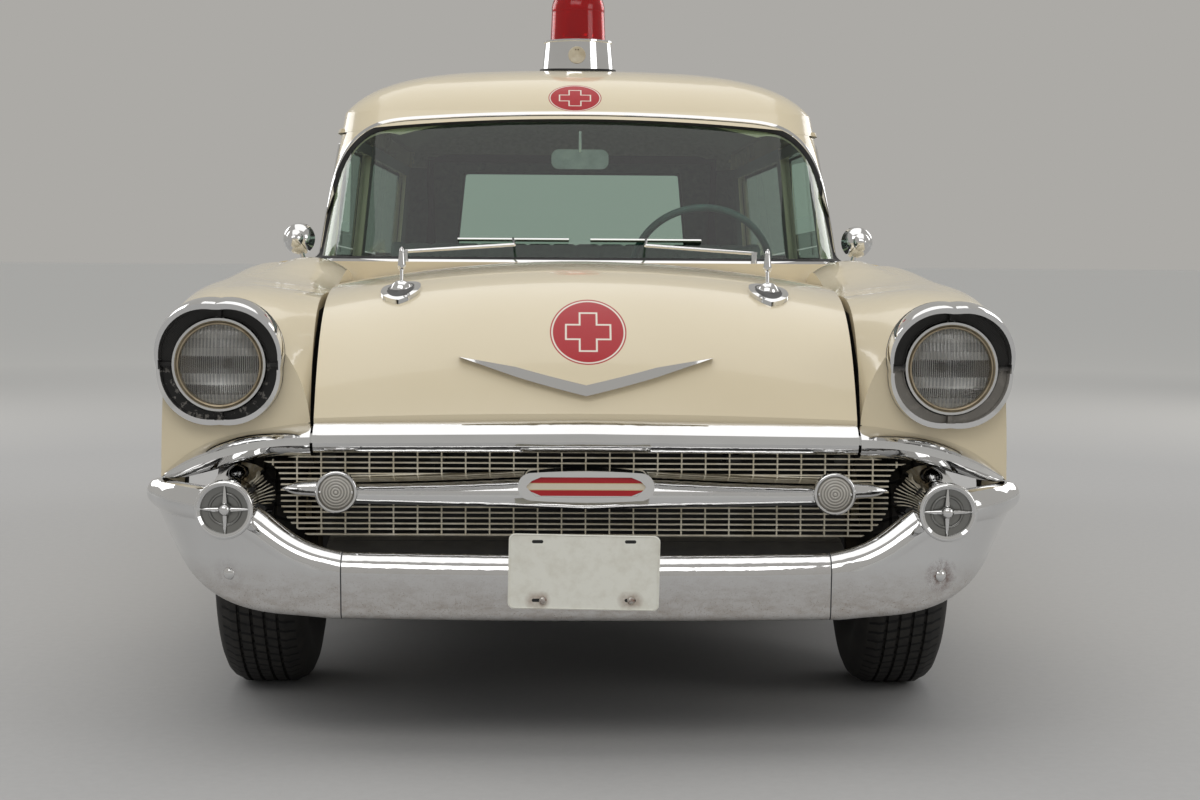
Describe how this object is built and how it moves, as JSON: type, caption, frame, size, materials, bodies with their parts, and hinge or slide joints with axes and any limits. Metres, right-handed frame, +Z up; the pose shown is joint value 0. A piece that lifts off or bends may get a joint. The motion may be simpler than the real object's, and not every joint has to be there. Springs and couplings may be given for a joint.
{
  "type": "station-wagon ambulance car",
  "caption": "Cream station-wagon ambulance car with chrome front, red roof beacon, opening doors, hood and tailgate, steered and rolling wheels.",
  "frame": {"origin": "on the ground under the middle of the car", "axes": "+Z up, front towards -Y, +X towards the driver's left side"},
  "size_m": [1.8776, 5.151, 1.8653],
  "materials": {
    "body_paint": "gloss cream enamel",
    "chrome": "bright plated, dusty low down",
    "grille_metal": "thin plated bars with a warm tint",
    "glass_clear": "clear with a green tint",
    "lamp_glass": "fluted clear glass",
    "red_lens": "moulded red plastic lens",
    "tyre_rubber": "worn black rubber",
    "wheel_paint": "enamelled steel with a bright cap",
    "chassis_black": "black frame paint",
    "cast_metal": "oily cast metal",
    "interior_green": "satin dark green",
    "seat_cover": "vinyl seat cover",
    "steel_bare": "dull steel"
  },
  "bodies": {
    "chassis": {"beacon_base": "chrome", "beacon_dome": "red_lens", "bumper_guards": "chrome", "cowl": "body_paint", "dashboard": "interior_green", "engine": "cast_metal", "exhaust": "steel_bare", "fender_left": "body_paint", "fender_right": "body_paint", "floor_pan": "chassis_black", "frame": "chassis_black", "front_bumper": "chrome", "fuel_tank": "chassis_black", "gravel_pan": "chassis_black", "grille_bar": "chrome", "grille_mesh": "grille_metal", "grille_surround": "chrome", "headlamp_glass": "lamp_glass", "headlamps": "chrome", "leaf_springs": "chassis_black", "quarter_glass": "glass_clear", "radiator": "chassis_black", "rear_axle": "chassis_black", "rear_bumper": "chrome", "roof": "body_paint", "seat": "seat_cover", "side_left": "body_paint", "side_right": "body_paint", "steering_wheel": "interior_green", "tail_lamps": "red_lens", "windscreen_glass": "glass_clear", "wipers": "chrome"},
    "hood": {"hood": "body_paint", "hood_ornaments": "chrome"},
    "door_left": {"door_left": "body_paint", "door_glass_left": "glass_clear", "door_mirror_left": "chrome"},
    "door_right": {"door_right": "body_paint", "door_glass_right": "glass_clear", "door_mirror_right": "chrome"},
    "liftgate": {"liftgate": "body_paint", "liftgate_glass": "glass_clear"},
    "tailgate": {"tailgate": "body_paint"},
    "beacon_rotor": {"beacon_rotor": "chrome"},
    "knuckle_left": {"knuckle_left": "cast_metal"},
    "knuckle_right": {"knuckle_right": "cast_metal"},
    "wheel_front_left": {"tyre_front_left": "tyre_rubber", "wheel_front_left": "wheel_paint"},
    "wheel_front_right": {"tyre_front_right": "tyre_rubber", "wheel_front_right": "wheel_paint"},
    "wheel_rear_left": {"tyre_rear_left": "tyre_rubber", "wheel_rear_left": "wheel_paint"},
    "wheel_rear_right": {"tyre_rear_right": "tyre_rubber", "wheel_rear_right": "wheel_paint"}
  },
  "joints": [
    {"name": "steer_left", "type": "hinge", "parent": "chassis", "child": "knuckle_left", "pos_m": [0.6345, -1.7255, 0.343], "axis": [0, 0, 1], "range_deg": [-32, 32]},
    {"name": "steer_right", "type": "hinge", "parent": "chassis", "child": "knuckle_right", "pos_m": [-0.6345, -1.7255, 0.343], "axis": [0, 0, 1], "range_deg": [-32, 32]},
    {"name": "spin_front_left", "type": "hinge", "parent": "knuckle_left", "child": "wheel_front_left", "pos_m": [0.7365, -1.7255, 0.343], "axis": [1, 0, 0], "continuous": true},
    {"name": "spin_front_right", "type": "hinge", "parent": "knuckle_right", "child": "wheel_front_right", "pos_m": [-0.7365, -1.7255, 0.343], "axis": [1, 0, 0], "continuous": true},
    {"name": "spin_rear_left", "type": "hinge", "parent": "chassis", "child": "wheel_rear_left", "pos_m": [0.7465, 1.1955, 0.343], "axis": [1, 0, 0], "continuous": true},
    {"name": "spin_rear_right", "type": "hinge", "parent": "chassis", "child": "wheel_rear_right", "pos_m": [-0.7465, 1.1955, 0.343], "axis": [1, 0, 0], "continuous": true},
    {"name": "door_left_hinge", "type": "hinge", "parent": "chassis", "child": "door_left", "pos_m": [0.93, -1.03, 0.7], "axis": [0, 0, -1], "range_deg": [0, 65]},
    {"name": "door_right_hinge", "type": "hinge", "parent": "chassis", "child": "door_right", "pos_m": [-0.93, -1.03, 0.7], "axis": [0, 0, 1], "range_deg": [0, 65]},
    {"name": "hood_hinge", "type": "hinge", "parent": "chassis", "child": "hood", "pos_m": [0, -1.01, 1.012], "axis": [-1, 0, 0], "range_deg": [0, 48]},
    {"name": "liftgate_hinge", "type": "hinge", "parent": "chassis", "child": "liftgate", "pos_m": [0, 2.104, 1.432], "axis": [1, 0, 0], "range_deg": [0, 75]},
    {"name": "tailgate_hinge", "type": "hinge", "parent": "chassis", "child": "tailgate", "pos_m": [0, 2.34, 0.56], "axis": [-1, 0, 0], "range_deg": [0, 90]},
    {"name": "beacon_spin", "type": "hinge", "parent": "chassis", "child": "beacon_rotor", "pos_m": [0, -0.125, 1.72], "axis": [0, 0, 1], "continuous": true}
  ],
  "couplings": [
    {"joint": "steer_right", "follows": "steer_left", "ratio": 1}
  ]
}
